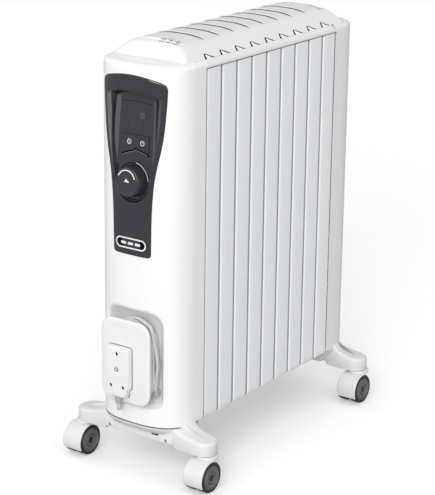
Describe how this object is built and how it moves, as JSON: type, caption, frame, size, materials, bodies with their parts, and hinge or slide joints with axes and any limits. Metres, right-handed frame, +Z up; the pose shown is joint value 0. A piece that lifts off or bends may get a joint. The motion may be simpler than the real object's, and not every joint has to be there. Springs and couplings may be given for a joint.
{
  "type": "oil filled radiator heater",
  "caption": "Freestanding oil filled radiator heater on twin-wheel casters, with a dark control panel, rotary knob and front cord winder.",
  "frame": {"origin": "on the floor, under the middle of the body's bounding box without the cord and plug", "axes": "+Z up, -Y out of the front cover with the control panel, +X to the right of someone facing the panel"},
  "size_m": [0.2752, 0.5458, 0.681],
  "materials": {
    "white_plastic": "fine satin moulded white",
    "white_enamel": "smooth semi-gloss baked enamel on steel",
    "dark_plastic": "satin charcoal",
    "smoked_lens": "polished smoked lens",
    "grey_cord": "light grey PVC",
    "wheel_rubber": "dark grey nylon",
    "zinc_steel": "zinc plated",
    "circuit_board": "green solder mask",
    "black_bakelite": "matt black"
  },
  "bodies": {
    "heater": {"fin_1": "white_enamel", "fin_2": "white_enamel", "fin_3": "white_enamel", "fin_4": "white_enamel", "fin_5": "white_enamel", "fin_6": "white_enamel", "fin_7": "white_enamel", "fin_8": "white_enamel", "fin_9": "white_enamel", "front_hub_cap": "white_enamel", "rear_hub_cap": "white_enamel", "heating_element": "zinc_steel", "oil_fill_plug": "zinc_steel", "rotary_encoder": "zinc_steel", "heat_shield": "zinc_steel", "control_bracket": "zinc_steel", "crossbar_screw_left": "zinc_steel", "crossbar_screw_right": "zinc_steel", "flange_gasket": "black_bakelite", "thermal_cutout": "black_bakelite", "tip_over_switch": "black_bakelite", "terminal_block": "black_bakelite", "front_cover": "white_plastic", "rear_cover": "white_plastic", "top_cover": "white_plastic", "cord_winder": "white_plastic", "mains_plug": "white_plastic", "front_foot": "white_plastic", "rear_foot": "white_plastic", "foot_crossbar": "white_plastic", "control_panel": "dark_plastic", "badge": "dark_plastic", "display_window": "smoked_lens", "main_board": "circuit_board", "display_board": "circuit_board", "cord_gland": "grey_cord", "cord_lead_in": "grey_cord", "cord_coil": "grey_cord", "cord_free_end": "grey_cord", "cord_strain_relief": "grey_cord"},
    "knob": {"knob": "dark_plastic"},
    "power_key": {"power_key": "smoked_lens"},
    "timer_key": {"timer_key": "smoked_lens"},
    "front_left_swivel": {"front_left_caster_hood": "white_plastic", "front_left_caster_axle": "zinc_steel"},
    "front_left_wheel_left": {"front_left_caster_wheel_left": "wheel_rubber"},
    "front_left_wheel_right": {"front_left_caster_wheel_right": "wheel_rubber"},
    "front_right_swivel": {"front_right_caster_hood": "white_plastic", "front_right_caster_axle": "zinc_steel"},
    "front_right_wheel_left": {"front_right_caster_wheel_left": "wheel_rubber"},
    "front_right_wheel_right": {"front_right_caster_wheel_right": "wheel_rubber"},
    "rear_left_swivel": {"rear_left_caster_hood": "white_plastic", "rear_left_caster_axle": "zinc_steel"},
    "rear_left_wheel_left": {"rear_left_caster_wheel_left": "wheel_rubber"},
    "rear_left_wheel_right": {"rear_left_caster_wheel_right": "wheel_rubber"},
    "rear_right_swivel": {"rear_right_caster_hood": "white_plastic", "rear_right_caster_axle": "zinc_steel"},
    "rear_right_wheel_left": {"rear_right_caster_wheel_left": "wheel_rubber"},
    "rear_right_wheel_right": {"rear_right_caster_wheel_right": "wheel_rubber"}
  },
  "joints": [
    {"name": "knob_turn", "type": "hinge", "parent": "heater", "child": "knob", "pos_m": [0, -0.24575, 0.4755], "axis": [0, -0.9969, 0.0785], "continuous": true},
    {"name": "power_key_press", "type": "slide", "parent": "heater", "child": "power_key", "axis": [0, 0.9969, -0.0785], "range_m": [0, 0.0012], "stiffness_N_per_m": 800, "springref_m": -0.0005},
    {"name": "timer_key_press", "type": "slide", "parent": "heater", "child": "timer_key", "axis": [0, 0.9969, -0.0785], "range_m": [0, 0.0012], "stiffness_N_per_m": 800, "springref_m": -0.0005},
    {"name": "front_left_swivel_turn", "type": "hinge", "parent": "heater", "child": "front_left_swivel", "pos_m": [-0.119, -0.21575, 0.05], "axis": [0, 0, 1], "continuous": true},
    {"name": "front_left_wheel_left_roll", "type": "hinge", "parent": "front_left_swivel", "child": "front_left_wheel_left", "pos_m": [-0.119, -0.23075, 0.024], "axis": [1, 0, 0], "continuous": true},
    {"name": "front_left_wheel_right_roll", "type": "hinge", "parent": "front_left_swivel", "child": "front_left_wheel_right", "pos_m": [-0.119, -0.23075, 0.024], "axis": [1, 0, 0], "continuous": true},
    {"name": "front_right_swivel_turn", "type": "hinge", "parent": "heater", "child": "front_right_swivel", "pos_m": [0.119, -0.21575, 0.05], "axis": [0, 0, 1], "continuous": true},
    {"name": "front_right_wheel_left_roll", "type": "hinge", "parent": "front_right_swivel", "child": "front_right_wheel_left", "pos_m": [0.119, -0.23075, 0.024], "axis": [1, 0, 0], "continuous": true},
    {"name": "front_right_wheel_right_roll", "type": "hinge", "parent": "front_right_swivel", "child": "front_right_wheel_right", "pos_m": [0.119, -0.23075, 0.024], "axis": [1, 0, 0], "continuous": true},
    {"name": "rear_left_swivel_turn", "type": "hinge", "parent": "heater", "child": "rear_left_swivel", "pos_m": [-0.119, 0.23025, 0.05], "axis": [0, 0, 1], "continuous": true},
    {"name": "rear_left_wheel_left_roll", "type": "hinge", "parent": "rear_left_swivel", "child": "rear_left_wheel_left", "pos_m": [-0.119, 0.21525, 0.024], "axis": [1, 0, 0], "continuous": true},
    {"name": "rear_left_wheel_right_roll", "type": "hinge", "parent": "rear_left_swivel", "child": "rear_left_wheel_right", "pos_m": [-0.119, 0.21525, 0.024], "axis": [1, 0, 0], "continuous": true},
    {"name": "rear_right_swivel_turn", "type": "hinge", "parent": "heater", "child": "rear_right_swivel", "pos_m": [0.119, 0.23025, 0.05], "axis": [0, 0, 1], "continuous": true},
    {"name": "rear_right_wheel_left_roll", "type": "hinge", "parent": "rear_right_swivel", "child": "rear_right_wheel_left", "pos_m": [0.119, 0.21525, 0.024], "axis": [1, 0, 0], "continuous": true},
    {"name": "rear_right_wheel_right_roll", "type": "hinge", "parent": "rear_right_swivel", "child": "rear_right_wheel_right", "pos_m": [0.119, 0.21525, 0.024], "axis": [1, 0, 0], "continuous": true}
  ]
}
